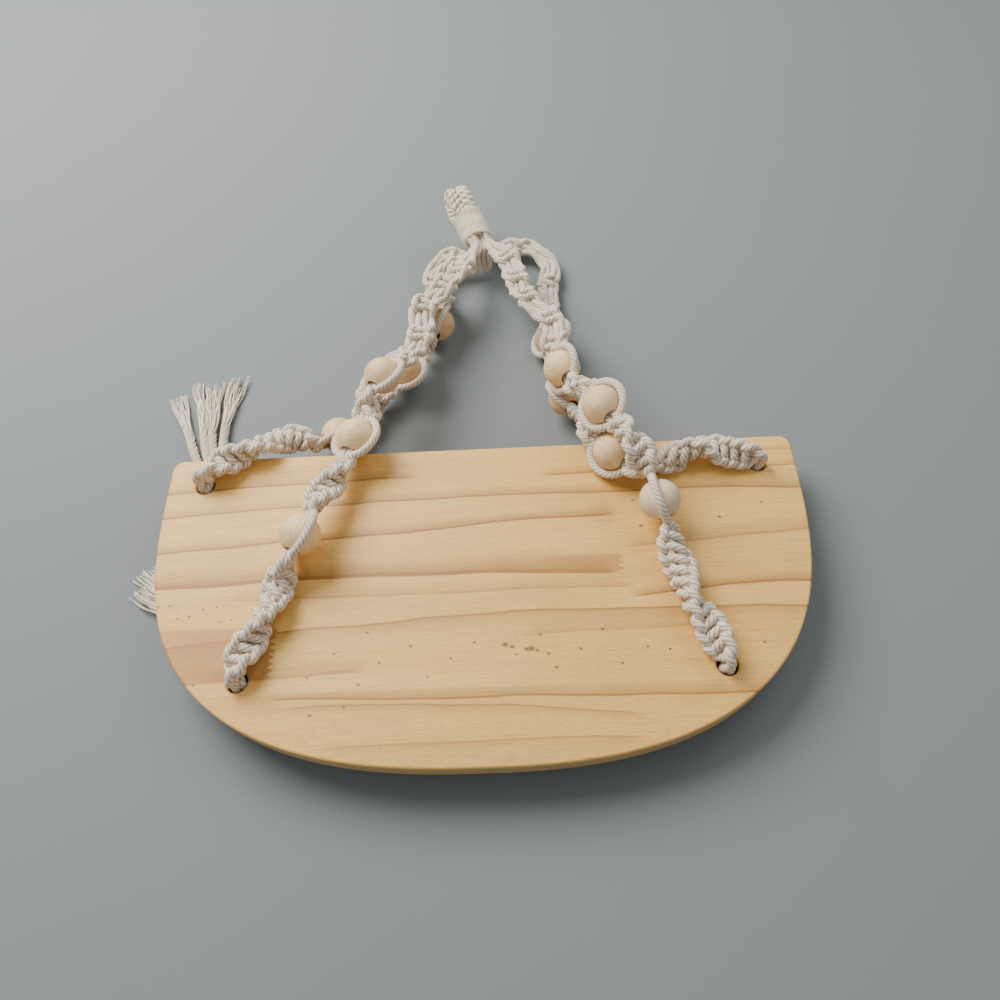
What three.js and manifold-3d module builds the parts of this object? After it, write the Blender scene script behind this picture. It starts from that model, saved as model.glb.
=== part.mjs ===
// A macrame wall shelf lying on a table: a half-round pine board slung from four knotted arms, which are
// folded back over its straight rear edge and meet in a whipped neck with a hanging loop.
// Millimetres, +Z up, +X to the right, +Y from the curved front edge to the straight rear edge.
import * as THREE from "three";
import { mergeVertices } from "three/addons/utils/BufferGeometryUtils.js";
import Module from "manifold-3d";

const wasm = await Module();
wasm.setup();

// Driving dimensions
const GAP = 0.3;
// Edges shorter than this are closed up where pieces join
const SLIVER = 0.02;
const BOARD = {
  halfWidth: 200,
  depth: 200,
  thickness: 15,
  underside: 15,
  cornerRadius: 7,
  roundOver: 1.5,
  sidePower: 2.525,
  frontPower: 3.34,
  curveSteps: 30,
};
const BOARD_TOP = BOARD.underside + BOARD.thickness;
const HOLE = { radius: 6, sides: 12 };
const HOLES = {
  fl: [-135, -150],
  fr: [135, -150],
  rl: [-176, -20],
  rr: [176, -20],
};
const BEAD = { radius: 12.2, bore: 5.3, sides: 10, arcSteps: 5 };
const CORD_RADIUS = 2.6;

// Sections of an arm as half width and half thickness
const ARM_SIDES = 8;
const NECK_RADIUS = 5.4;
const SPIRAL = { halfWidth: 9.6, halfThickness: 5.7, groove: 0.86, endWidth: 0.66, endLength: 9 };
const FILLERS = { halfWidth: 4.7, halfThickness: 2.5 };
const SQUARE_KNOT = { halfWidth: 9.6, halfThickness: 6.2, waist: 0.86, halfLength: 6.5, ridge: 3.2 };
const MOUTH = { radius: 4, gatherLength: 16, gatherWidth: 4.6, gatherThickness: 4.2 };

// Half the straight stretch of an arm at a bead, and the path of a working cord round the bead:
// distance along the arm and out from it
const BEAD_REACH = 14;
const BEAD_LEAD = 4;
const CORD_RING = BEAD.radius + 2 * GAP + CORD_RADIUS;
const ROUND_BEAD = [
  [-19, 3.2],
  [-14, 7],
  [-0.62 * CORD_RING, 0.785 * CORD_RING],
  [0, CORD_RING],
  [0.62 * CORD_RING, 0.785 * CORD_RING],
  [14, 7],
  [19, 3.2],
];
const CORD_SIDES = 4;
const CORD_STEP = 10;
// How far the two outer cords lie from the middle of an arm at a square knot, between knots and at the neck
const OUTER_CORDS = { atBead: 5.5, atKnot: 4.8, between: 7.4, atNeck: 2, end: 12 };

// Stations of each arm from its hole in the board to the mouth of the whipping: kind, x, y, z, and the turn
// of its flat side about the arm in degrees. halfKnots counts the half knots of its three spirals.
const ARMS = {
  fl: {
    halfKnots: [10, 6, 4],
    stations: [
      ["hole", -135, -150, 30, -90],
      ["rise", -133.5, -146, 37, -80],
      ["spiral", -127, -128, 38.8, 26],
      ["spiral", -118, -107.5, 40.6, 116],
      ["spiral", -112.5, -90.5, 40, 206],
      ["bead", -104, -68.5, 48.3, 308],
      ["spiral", -91.5, -34.5, 45, 386],
      ["bead", -77, 1.5, 46, 520],
      ["spiral", -69.5, 26, 46, 600],
      ["bead", -63, 51.5, 46, 690],
      ["knot", -48, 68, 43, 705],
      ["knot", -39, 89.5, 41, 720],
      ["knot", -38, 119.5, 39, 735],
      ["knot", -22.5, 143, 37, 720],
      ["knot", -8.5, 159, 35, 700],
      ["strand", -2.5, 180, 31.5, 720],
    ],
  },
  fr: {
    halfKnots: [11, 6, 4],
    stations: [
      ["hole", 135, -150, 30, -90],
      ["rise", 133.5, -146, 37, -80],
      ["spiral", 127.7, -132.5, 37.5, -17],
      ["spiral", 118, -115.5, 39.7, 73],
      ["spiral", 114.5, -92, 40, 163],
      ["bead", 108, -55, 48.3, 250],
      ["spiral", 96.6, -29.4, 63.2, 348],
      ["bead", 78.8, 6.9, 61, 500],
      ["spiral", 70.5, 27, 56, 590],
      ["bead", 57.2, 49.6, 47, 658],
      ["knot", 53.5, 73.3, 44, 705],
      ["knot", 52, 97.7, 43, 720],
      ["knot", 35.5, 122.3, 41, 735],
      ["knot", 29.6, 144.3, 39, 720],
      ["knot", 24.3, 170.5, 36, 700],
      ["strand", 13.5, 187, 32, 720],
    ],
  },
  rl: {
    halfKnots: [11, 6, 4],
    stations: [
      ["hole", -176, -20, 30, -90],
      ["rise", -173.5, -17.5, 37, -80],
      ["spiral", -159, -6, 38.5, 38],
      ["spiral", -143, 4, 39, 128],
      ["spiral", -123, 16.5, 27, 218],
      ["bead", -95.5, 24, 18.3, 300],
      ["spiral", -78.5, 52, 11, 400],
      ["bead", -53.5, 79.8, 16, 530],
      ["spiral", -41, 102, 14.5, 592],
      ["bead", -30, 124, 17.2, 655],
      ["knot", -26, 150, 13, 725],
      ["knot", -37, 173, 13, 720],
      ["strand", -36, 188, 14, 720],
      ["knot", -25, 196.5, 16, 720],
      ["strand", -14, 192, 17.5, 720],
      ["strand", -4, 190, 18.4, 720],
    ],
  },
  rr: {
    halfKnots: [11, 6, 4],
    stations: [
      ["hole", 176, -20, 30, -90],
      ["rise", 172.5, -19.8, 37, -80],
      ["spiral", 152.7, -16, 38.3, -34],
      ["spiral", 138, -14.5, 40.3, 56],
      ["spiral", 123.5, -19, 38, 146],
      ["spiral", 105, -18.5, 38, 222],
      ["bead", 84.6, -15.6, 43.4, 325],
      ["spiral", 74.6, 17, 33, 370],
      ["bead", 60.6, 47.7, 18, 405],
      ["spiral", 56, 78, 15, 460],
      ["bead", 53.5, 106, 16, 505],
      ["knot", 53.8, 136, 12, 530],
      ["knot", 54.5, 166, 9, 540],
      ["strand", 60, 190, 9, 540],
      ["strand", 52, 207, 10, 540],
      ["knot", 34, 213, 12, 540],
      ["strand", 20, 205, 15, 540],
      ["strand", 12, 195, 16.5, 540],
    ],
  },
};

// The whipped neck: the middle of its lower end and of its upper end, and the seats of the four arms in its
// mouth: sides across and up, how far from the middle, and how far up the neck an arm enters and ends
const NECK = { low: [2.2, 200.8, 26], high: [-8, 226, 33.8] };
const SEATS = {
  sides: { fl: [-1, 1], fr: [1, 1], rl: [-1, -1], rr: [1, -1] },
  offset: 4.25,
  enter: -6,
  end: 3.5,
};
const WHIPPING = { radius: 12.3, inner: 10.3, sides: 14, ridges: 7, ridgeDepth: 0.6 };
// The hanging loop: a core inside the whipping and a braided band folded over at the top.
// Band rows: distance up the neck, height over its middle, half width, half thickness.
const LOOP = { coreRadius: 10, coreStart: 4, coreTop: 32, coreSides: 12, ridge: 0.9 };
const BAND_ROWS = [
  [29.3, 6.6, 8.6, 3.2],
  [33, 7.4, 9.8, 3.4],
  [37.5, 8, 9.6, 3.5],
  [42, 8.1, 9.2, 3.5],
  [46.5, 7.6, 8.7, 3.5],
  [50, 5.4, 8.2, 3.5],
  [51.6, 0, 7.9, 3.5],
  [50, -5.4, 8.2, 3.5],
  [46.5, -7.6, 8.7, 3.5],
  [42, -8.1, 9.2, 3.5],
  [37.5, -8, 9.6, 3.5],
  [33, -7.4, 9.8, 3.4],
  [29.3, -6.6, 8.6, 3.2],
];
// Slack bights that droop from the mouth of the whipping, each part of a front arm
const BIGHTS = {
  fl: [
    [-1, 191, 29],
    [-5.5, 185.5, 25],
    [-5.5, 182, 18.5],
    [-3, 179.5, 15.5],
    [-1, 181.2, 20],
    [-0.8, 186.3, 26],
    [0.5, 191.5, 28.5],
  ],
  fr: [
    [8, 193.5, 29],
    [5, 188.5, 24],
    [5, 185.5, 17],
    [8, 184.5, 12.5],
    [11, 186.5, 17],
    [10.5, 190, 24],
    [9, 194, 28.5],
  ],
};

// The end knots and their unravelled tails on the table: radius and height of each ring of a knot
const KNOT_RINGS = [
  [9.5, 0],
  [12, 3.5],
  [12.4, 8],
  [10.6, 12],
  [7.6, BOARD.underside - GAP],
];
const KNOT_SIDES = 10;
const LOCKS = 8;
const LOCK_RINGS = [
  { reach: 0.05, spread: 0.2, width: 2.6, height: 5.5 },
  { reach: 0.3, spread: 0.38, width: 2.5, height: 5 },
  { reach: 0.68, spread: 0.66, width: 2.4, height: 4.2 },
  { reach: 1, spread: 1, width: 1.5, height: 2.4 },
];
// Direction of each tail in degrees from +X, its length, how far its tips fan out, and its sideways bend
const TAILS = {
  fl: { heading: 138, length: 120, fan: 24, bend: 3 },
  fr: { heading: 134, length: 92, fan: 40, bend: -4 },
  rl: { heading: 104, length: 116, fan: 56, bend: -4 },
  rr: { heading: 190, length: 92, fan: 40, bend: 4 },
};

// Materials
const PINE = new THREE.MeshStandardMaterial({ color: 0xdcbd8c, roughness: 0.55, metalness: 0 });
const RAW_WOOD = new THREE.MeshStandardMaterial({ color: 0xd9c2a0, roughness: 0.6, metalness: 0 });
const COTTON = new THREE.MeshStandardMaterial({ color: 0xd6ccbf, roughness: 0.95, metalness: 0 });
const FINE_COTTON = new THREE.MeshStandardMaterial({ color: 0xe0dac9, roughness: 0.95, metalness: 0 });

const vector = ([x, y, z]) => new THREE.Vector3(x, y, z);
const degrees = THREE.MathUtils.degToRad;

function named(name, geometry, material) {
  const mesh = new THREE.Mesh(geometry, material);
  mesh.name = name;
  return mesh;
}

function solidOf(geometry) {
  const bare = new THREE.BufferGeometry();
  bare.setAttribute("position", geometry.getAttribute("position"));
  bare.setIndex(geometry.index);
  const merged = mergeVertices(bare, 1e-4);
  return new wasm.Manifold(
    new wasm.Mesh({
      numProp: 3,
      vertProperties: merged.getAttribute("position").array,
      triVerts: new Uint32Array(merged.index.array),
    }),
  );
}

function geometryOf(solid) {
  const mesh = solid.getMesh();
  const geometry = new THREE.BufferGeometry();
  geometry.setAttribute("position", new THREE.BufferAttribute(mesh.vertProperties, 3));
  geometry.setIndex(new THREE.BufferAttribute(mesh.triVerts, 1));
  geometry.computeVertexNormals();
  return geometry;
}

// One body of several that overlap, with no pockets left inside it
function joined(geometries) {
  const whole = geometries.map(solidOf).reduce((all, next) => all.add(next)).setTolerance(SLIVER);
  const [outside] = whole.decompose().sort((a, b) => b.volume() - a.volume());
  return geometryOf(outside);
}

// A closed skin over a row of rings with equal counts of points, each ring turning clockwise as seen from
// the end of the row.
function skin(rings) {
  const sides = rings[0].length;
  const positions = [];
  const faces = [];
  rings.flat().forEach((p) => positions.push(p.x, p.y, p.z));
  for (let r = 0; r + 1 < rings.length; r += 1) {
    for (let k = 0; k < sides; k += 1) {
      const a = r * sides + k;
      const b = r * sides + ((k + 1) % sides);
      faces.push(a, a + sides, b, b, a + sides, b + sides);
    }
  }
  [rings[0], rings[rings.length - 1]].forEach((ring, end) => {
    const centre = ring.reduce((sum, p) => sum.add(p), new THREE.Vector3()).divideScalar(sides);
    const hub = positions.length / 3;
    const first = end * (rings.length - 1) * sides;
    positions.push(centre.x, centre.y, centre.z);
    for (let k = 0; k < sides; k += 1) {
      const a = first + k;
      const b = first + ((k + 1) % sides);
      faces.push(hub, ...(end ? [b, a] : [a, b]));
    }
  });
  const geometry = new THREE.BufferGeometry();
  geometry.setAttribute("position", new THREE.Float32BufferAttribute(positions, 3));
  geometry.setIndex(faces);
  geometry.computeVertexNormals();
  return geometry;
}

function tube(points, radius, steps, sides = CORD_SIDES) {
  const section = new THREE.Shape();
  for (let k = 0; k < sides; k += 1) {
    const angle = (2 * Math.PI * k) / sides;
    const place = [radius * Math.cos(angle), radius * Math.sin(angle)];
    if (k) section.lineTo(...place);
    else section.moveTo(...place);
  }
  section.closePath();
  const path = new THREE.CatmullRomCurve3(points);
  return new THREE.ExtrudeGeometry(section, { steps, extrudePath: path, curveSegments: 1 });
}

// The board

function boardOutline() {
  const { halfWidth, depth, cornerRadius, sidePower, frontPower, curveSteps } = BOARD;
  const shape = new THREE.Shape();
  const start = Math.asin((cornerRadius / depth) ** (frontPower / 2));
  for (let k = 0; k <= curveSteps; k += 1) {
    const angle = start + ((Math.PI - 2 * start) * k) / curveSteps;
    const cos = Math.cos(angle);
    const x = Math.sign(cos) * halfWidth * Math.abs(cos) ** (2 / sidePower);
    const y = -depth * Math.sin(angle) ** (2 / frontPower);
    if (k) shape.lineTo(x, y);
    else shape.moveTo(x, y);
  }
  shape.absarc(-halfWidth + cornerRadius, -cornerRadius, cornerRadius, Math.PI, Math.PI / 2, true);
  shape.absarc(halfWidth - cornerRadius, -cornerRadius, cornerRadius, Math.PI / 2, 0, true);
  return shape;
}

function makeBoard() {
  const shape = boardOutline();
  for (const [x, y] of Object.values(HOLES)) {
    shape.holes.push(new THREE.Path().absarc(x, y, HOLE.radius, 0, 2 * Math.PI, false));
  }
  const { thickness, roundOver, underside } = BOARD;
  const geometry = new THREE.ExtrudeGeometry(shape, {
    depth: thickness - 2 * roundOver,
    bevelEnabled: true,
    bevelThickness: roundOver,
    bevelSize: roundOver,
    bevelOffset: -roundOver,
    bevelSegments: 1,
    curveSegments: HOLE.sides / 2,
  });
  const board = named("board", geometry, PINE);
  board.position.z = underside + roundOver;
  return board;
}

// The neck's own directions: level across it, up along it and out of it

function neckFrame() {
  const origin = vector(NECK.low);
  const along = vector(NECK.high).sub(origin).normalize();
  const { side, up } = frameAt(along);
  return { origin, across: side, along, out: up };
}

// The arms

// Level side direction and upper normal of an arm whose path runs along the tangent
function frameAt(tangent, level = tangent) {
  const side = new THREE.Vector3(level.y, -level.x, 0).normalize();
  const up = new THREE.Vector3().crossVectors(side, tangent).normalize();
  side.crossVectors(tangent, up);
  return { side, up };
}

function crossAxes(tangent, turn, level) {
  const { side, up } = frameAt(tangent, level);
  const cos = Math.cos(degrees(turn));
  const sin = Math.sin(degrees(turn));
  const wide = side.clone().multiplyScalar(cos).addScaledVector(up, -sin);
  const thick = up.clone().multiplyScalar(cos).addScaledVector(side, sin);
  return { wide, thick };
}

function ring(centre, { wide, thick }, halfWidth, halfThickness, sides = ARM_SIDES) {
  return Array.from({ length: sides }, (_, k) => {
    const angle = (2 * Math.PI * k) / sides;
    return centre
      .clone()
      .addScaledVector(wide, halfWidth * Math.cos(angle))
      .addScaledVector(thick, halfThickness * Math.sin(angle));
  });
}

// A stretch of an arm between two beads, or from a bead to an end
class Stretch {
  constructor(stations) {
    this.stations = stations;
    this.curve = new THREE.CatmullRomCurve3(stations.map((row) => row.place));
    const cuts = 40;
    this.curve.arcLengthDivisions = cuts * (stations.length - 1);
    const lengths = this.curve.getLengths();
    stations.forEach((row, i) => {
      row.at = lengths[i * cuts];
    });
    this.length = lengths[lengths.length - 1];
    this.level = this.curve.getTangentAt(Math.min(1, 14 / this.length));
  }

  turnAt(at) {
    const rows = this.stations;
    let i = 1;
    while (i < rows.length - 1 && rows[i].at < at) i += 1;
    const share = (at - rows[i - 1].at) / (rows[i].at - rows[i - 1].at);
    return rows[i - 1].turn + share * (rows[i].turn - rows[i - 1].turn);
  }

  // The middle of the arm and its two cross directions at a distance along the stretch
  at(distance) {
    const share = Math.min(1, Math.max(0, distance / this.length));
    const tangent = this.curve.getTangentAt(share);
    const steep = Math.hypot(tangent.x, tangent.y) < 0.75;
    return {
      centre: this.curve.getPointAt(share),
      axes: crossAxes(tangent, this.turnAt(distance), steep ? this.level : tangent),
    };
  }

  ring(distance, halfWidth, halfThickness) {
    const { centre, axes } = this.at(distance);
    return ring(centre, axes, halfWidth, halfThickness);
  }
}

// A place in the mouth of the whipping where an arm ends, by its distance up the neck
function seat(key, distance) {
  const { origin, across, along, out } = neckFrame();
  const [sideways, upwards] = SEATS.sides[key];
  return origin
    .addScaledVector(along, distance)
    .addScaledVector(across, sideways * SEATS.offset)
    .addScaledVector(out, upwards * SEATS.offset);
}

function readArm(key, { stations }) {
  const rows = stations.map(([kind, x, y, z, turn]) => ({ kind, place: new THREE.Vector3(x, y, z), turn }));
  const { turn } = rows[rows.length - 1];
  for (const distance of [SEATS.enter, SEATS.end]) rows.push({ kind: "seat", place: seat(key, distance), turn });
  const beads = [];
  const stretches = [];
  let current = [];
  rows.forEach((row, i) => {
    if (row.kind !== "bead") {
      current.push(row);
      return;
    }
    const along = rows[i + 1].place.clone().sub(rows[i - 1].place).normalize();
    const beside = (offset) => ({
      kind: "lead",
      place: row.place.clone().addScaledVector(along, offset),
      turn: row.turn,
    });
    current.push(beside(-BEAD_REACH - BEAD_LEAD), beside(-BEAD_REACH));
    stretches.push(new Stretch(current));
    current = [beside(BEAD_REACH), beside(BEAD_REACH + BEAD_LEAD)];
    beads.push({ centre: row.place, along, turn: row.turn });
  });
  stretches.push(new Stretch(current));
  return { beads, stretches };
}

// The ridged bar of half knots between two ends of a stretch
function spiralRings(stretch, halfKnots, from) {
  const { halfWidth, halfThickness, groove, endWidth, endLength } = SPIRAL;
  const rings = [];
  for (let k = 0; k <= 2 * halfKnots; k += 1) {
    const at = from + ((stretch.length - from) * k) / (2 * halfKnots);
    const toEnd = Math.min(at - from, stretch.length - at) / endLength;
    const grown = endWidth + (1 - endWidth) * Math.min(1, toEnd);
    const ridge = k % 2 ? 1 : groove;
    rings.push(stretch.ring(at, halfWidth * grown * ridge, halfThickness * grown * ridge));
  }
  return rings;
}

// The arm's end that stands in its hole, with the first spiral on top
function rootSpiral(stretch, halfKnots) {
  const foot = stretch.stations[0].place.clone();
  const upright = crossAxes(new THREE.Vector3(0, 0, 1), stretch.stations[0].turn, stretch.level);
  const neck = [BOARD.underside, BOARD_TOP + GAP].map((z) =>
    ring(foot.clone().setZ(z), upright, NECK_RADIUS, NECK_RADIUS),
  );
  return skin([...neck, ...spiralRings(stretch, halfKnots, stretch.stations[1].at)]);
}

function beadCords({ centre, along, turn }) {
  const { wide, thick } = crossAxes(along, turn);
  const placed = ([distance, out]) =>
    centre.clone().addScaledVector(along, distance).addScaledVector(wide, out);
  const reach = BEAD_REACH + BEAD_LEAD;
  const fillers = [-reach, reach].map((distance) =>
    ring(placed([distance, 0]), { wide, thick }, FILLERS.halfWidth, FILLERS.halfThickness),
  );
  const workingCords = [1, -1].map((side) =>
    tube(ROUND_BEAD.map(([distance, out]) => placed([distance, side * out])), CORD_RADIUS, 6),
  );
  return [skin(fillers), ...workingCords];
}

// Open square knots on two filler cords, gathered at the neck
function knottedRings(stretch) {
  const { halfWidth, halfThickness, waist, halfLength, ridge } = SQUARE_KNOT;
  const filler = [FILLERS.halfWidth, FILLERS.halfThickness];
  const rows = [[0, ...filler]];
  for (const { kind, at } of stretch.stations) {
    if (kind === "strand") rows.push([at, ...filler]);
    if (kind === "knot") {
      rows.push([at - halfLength, ...filler]);
      rows.push([at - ridge, halfWidth, halfThickness]);
      rows.push([at, halfWidth * waist, halfThickness * waist]);
      rows.push([at + ridge, halfWidth, halfThickness]);
      rows.push([at + halfLength, ...filler]);
    }
  }
  const gather = stretch.length - MOUTH.gatherLength;
  const kept = rows.filter(([at]) => at < gather - 2);
  kept.push([gather, MOUTH.gatherWidth, MOUTH.gatherThickness]);
  kept.push([stretch.length - MOUTH.gatherLength / 2, MOUTH.radius, MOUTH.radius]);
  kept.push([stretch.length, MOUTH.radius, MOUTH.radius]);
  return kept.map(([at, a, b]) => stretch.ring(at, a, b));
}

function outerCords(stretch) {
  const { atBead, atKnot, between, atNeck, end } = OUTER_CORDS;
  const knots = stretch.stations.filter(({ kind }) => kind === "knot").map(({ at }) => at);
  const last = stretch.length - end;
  const stops = [0, ...knots, last];
  const rows = [[0, atBead]];
  stops.slice(1).forEach((at, i) => {
    const before = stops[i];
    const wide = at === last ? 0.5 * (atKnot + between) : between;
    rows.push([(before + at) / 2, wide]);
    rows.push([at, at === last ? atNeck : atKnot]);
  });
  const steps = Math.round(stretch.length / CORD_STEP);
  return [1, -1].map((side) => {
    const points = rows.map(([distance, out]) => {
      const { centre, axes } = stretch.at(distance);
      return centre.addScaledVector(axes.wide, side * out);
    });
    return tube(points, CORD_RADIUS, steps);
  });
}

function makeArm(key, { beads, stretches }, halfKnots) {
  const pieces = stretches.slice(0, 3).map((stretch, i) =>
    i ? skin(spiralRings(stretch, halfKnots[i], 0)) : rootSpiral(stretch, halfKnots[i]),
  );
  pieces.push(...beads.flatMap(beadCords));
  pieces.push(skin(knottedRings(stretches[3])), ...outerCords(stretches[3]));
  if (BIGHTS[key]) pieces.push(tube(BIGHTS[key].map(vector), CORD_RADIUS, 9));
  return named(`arm_${key}`, joined(pieces), COTTON);
}

function makeBead(name, { centre, along }) {
  const { radius, bore, sides, arcSteps } = BEAD;
  const open = Math.asin(bore / radius);
  const profile = [];
  for (let k = 0; k <= arcSteps; k += 1) {
    const angle = open + ((Math.PI - 2 * open) * k) / arcSteps;
    profile.push(new THREE.Vector2(radius * Math.sin(angle), -radius * Math.cos(angle)));
  }
  profile.push(profile[0].clone());
  const bead = named(name, new THREE.LatheGeometry(profile, sides), RAW_WOOD);
  bead.position.copy(centre);
  bead.quaternion.setFromUnitVectors(new THREE.Vector3(0, 1, 0), along);
  return bead;
}

// The neck: its own group, with y up the neck, x level across it and z out of it

function neckGroup() {
  const { origin, across, along, out } = neckFrame();
  const group = new THREE.Group();
  group.position.copy(origin);
  group.quaternion.setFromRotationMatrix(new THREE.Matrix4().makeBasis(across, along, out));
  return group;
}

function makeWhipping() {
  const { radius, inner, sides, ridges, ridgeDepth } = WHIPPING;
  const length = vector(NECK.low).distanceTo(vector(NECK.high));
  const profile = [new THREE.Vector2(inner, 0)];
  for (let k = 0; k <= 2 * ridges; k += 1) {
    profile.push(new THREE.Vector2(radius - (k % 2 ? 0 : ridgeDepth), (length * k) / (2 * ridges)));
  }
  profile.push(new THREE.Vector2(inner, length), new THREE.Vector2(inner, 0));
  return named("whipping", new THREE.LatheGeometry(profile, sides), FINE_COTTON);
}

function makeHangingLoop() {
  const { coreRadius, coreStart, coreTop, coreSides, ridge } = LOOP;
  const core = new THREE.CylinderGeometry(coreRadius, coreRadius, coreTop - coreStart, coreSides);
  core.translate(0, (coreStart + coreTop) / 2, 0);
  const across = new THREE.Vector3(1, 0, 0);
  const rings = BAND_ROWS.map(([along, out, halfWidth, halfThickness], i) => {
    const before = BAND_ROWS[Math.max(0, i - 1)];
    const after = BAND_ROWS[Math.min(BAND_ROWS.length - 1, i + 1)];
    const run = new THREE.Vector3(0, after[0] - before[0], after[1] - before[1]).normalize();
    const thick = new THREE.Vector3().crossVectors(across, run);
    const full = i % 2 ? 1 : ridge;
    const centre = new THREE.Vector3(0, along, out);
    return ring(centre, { wide: across, thick }, halfWidth, halfThickness * full);
  });
  return named("hanging_loop", joined([core, skin(rings)]), FINE_COTTON);
}

// The end knots and tails under the board

function lockRings(foot, { heading, length, fan, bend }, index) {
  const forward = new THREE.Vector3(Math.cos(degrees(heading)), Math.sin(degrees(heading)), 0);
  const across = new THREE.Vector3(forward.y, -forward.x, 0);
  const slot = index / (LOCKS - 1) - 0.5;
  const reachOf = length * (1 - 0.3 * slot * slot);
  return LOCK_RINGS.map(({ reach, spread, width, height }) => {
    const centre = foot
      .clone()
      .addScaledVector(forward, reachOf * reach)
      .addScaledVector(across, fan * slot * spread + bend * Math.sin(Math.PI * reach));
    return [
      [-width / 2, 0],
      [width / 2, 0],
      [width / 2, height],
      [-width / 2, height],
    ].map(([out, z]) => centre.clone().addScaledVector(across, out).setZ(z));
  });
}

function makeTassel(key) {
  const foot = new THREE.Vector3(...HOLES[key], 0);
  const knot = KNOT_RINGS.map(([radius, z]) =>
    Array.from({ length: KNOT_SIDES }, (_, k) => {
      const angle = (-2 * Math.PI * k) / KNOT_SIDES;
      const lump = k % 3 ? 1 : 0.93;
      return new THREE.Vector3(foot.x + lump * radius * Math.cos(angle), foot.y + lump * radius * Math.sin(angle), z);
    }),
  );
  const locks = Array.from({ length: LOCKS }, (_, index) => skin(lockRings(foot, TAILS[key], index)));
  return named(`tassel_${key}`, joined([skin(knot), ...locks]), COTTON);
}

const shelf = new THREE.Group();
shelf.add(makeBoard());
for (const [key, table] of Object.entries(ARMS)) {
  const arm = readArm(key, table);
  shelf.add(makeArm(key, arm, table.halfKnots));
  arm.beads.forEach((bead, i) => shelf.add(makeBead(`bead_${key}_${i + 1}`, bead)));
  shelf.add(makeTassel(key));
}
const neck = neckGroup();
neck.add(makeWhipping(), makeHangingLoop());
shelf.add(neck);

// The origin is the middle of the shelf's outer box, on the table
shelf.updateMatrixWorld(true);
const middle = new THREE.Box3().setFromObject(shelf, true).getCenter(new THREE.Vector3());
shelf.position.set(-middle.x, -middle.y, 0);

export default shelf;
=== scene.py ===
"""A macrame wall shelf laid on a table: the finish of its board, beads, knotted arms, tails and neck."""

import math
import random

import bmesh
import bpy
import numpy as np
from bpy.props import FloatProperty, FloatVectorProperty, PointerProperty
from mathutils import Matrix, Vector


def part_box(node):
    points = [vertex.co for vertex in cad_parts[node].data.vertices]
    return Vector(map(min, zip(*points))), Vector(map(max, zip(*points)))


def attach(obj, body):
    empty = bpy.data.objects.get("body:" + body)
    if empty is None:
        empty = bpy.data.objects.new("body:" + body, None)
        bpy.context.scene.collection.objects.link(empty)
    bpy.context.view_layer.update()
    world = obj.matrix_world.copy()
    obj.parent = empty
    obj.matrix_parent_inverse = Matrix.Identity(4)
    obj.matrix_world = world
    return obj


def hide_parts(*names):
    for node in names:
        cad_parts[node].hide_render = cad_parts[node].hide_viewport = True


bl_info = {
    "name": "Macrame Shelf",
    "version": (1, 0, 0),
    "blender": (4, 5, 0),
    "location": "View3D > Sidebar > Shelf",
    "description": "Models the cords, beads, board and neck of a macrame shelf round its packed frame",
    "category": "Object",
}

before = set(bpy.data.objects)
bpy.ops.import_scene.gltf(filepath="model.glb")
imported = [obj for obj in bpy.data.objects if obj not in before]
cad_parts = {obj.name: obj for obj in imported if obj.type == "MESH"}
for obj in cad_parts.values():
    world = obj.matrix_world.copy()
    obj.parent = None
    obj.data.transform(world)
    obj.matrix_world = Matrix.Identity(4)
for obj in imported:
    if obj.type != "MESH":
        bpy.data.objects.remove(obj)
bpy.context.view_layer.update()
BOARD_LOW, BOARD_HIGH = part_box("board")

# Tables below are in millimetres, with x from the middle of the board, y from its straight rear edge
# and z from the table. ORIGIN is that point in the frame.
MM = 0.001
ORIGIN = np.array([(BOARD_LOW.x + BOARD_HIGH.x) / 2, BOARD_HIGH.y, 0.0])
UNDERSIDE = round(BOARD_LOW.z / MM, 3)
BOARD_TOP = round(BOARD_HIGH.z / MM, 3)

# The board's half length, depth, corner radius, edge rounding and the powers that shape its curved front
BOARD = {"half": 200.0, "depth": 200.0, "corner": 7.0, "edge": 1.5, "side_power": 2.525, "front_power": 3.34}
BOARD_STEPS = 160
HOLES = {"fl": (-135, -150), "fr": (135, -150), "rl": (-176, -20), "rr": (176, -20)}
HOLE_RADIUS = 6.0
HOLE_SIDES = 48

# Grain lines of the board: y at its middle, slope, bend, first and last x, width of the brown shade behind it
# (before it where negative) and strength
GRAIN = [
    (-20.2, -0.006, -0.00018, -230, -35, 8, 0.75),
    (-36.8, 0.011, -0.00012, -230, 230, 9, 0.75),
    (-57.7, 0.065, 0.00002, -230, 88, 8, 0.95),
    (-90.0, -0.022, -0.00019, -230, 84, 15, 1.15),
    (-101.6, 0.001, 0.00004, -150, 92, 11, 0.4),
    (-115.0, 0.031, -0.00022, -230, 230, -11, 0.6),
    (-163.3, -0.02, 0.00001, -120, 230, 8, 0.7),
    (-166.4, -0.058, -0.00049, -110, 90, -6, 0.55),
    (-22.9, 0.016, 0.0, 35, 120, 9, 0.7),
    (-129.0, 0.329, -0.00098, 84, 230, 8, 1.0),
    (-80.3, 0.039, 0.00011, 84, 230, 12, 0.45),
    (-21.7, -0.004, 0.0, 168, 230, 7, 0.7),
    (-10.5, 0.004, 0.0, 120, 230, 4, 0.5),
    (-130.0, 0.05, -0.0002, 20, 150, 16, 0.3),
    (-147.0, 0.01, -0.0001, -190, -60, 12, 0.45),
    (-185.0, 0.0, -0.0003, -90, 90, -7, 0.4),
]

# Finger joints: x of the joint, from and to which y, how far its brown reaches to the left, and strength
JOINTS = [
    (-120.5, -152, -117, 110, 0.5),
    (80.5, -94, -78.5, 60, 0.5),
    (79.0, -64, -42, 12, 0.14),
]
TOOTH_PITCH = 3.9
TOOTH_DEPTH = 4.5

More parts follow.
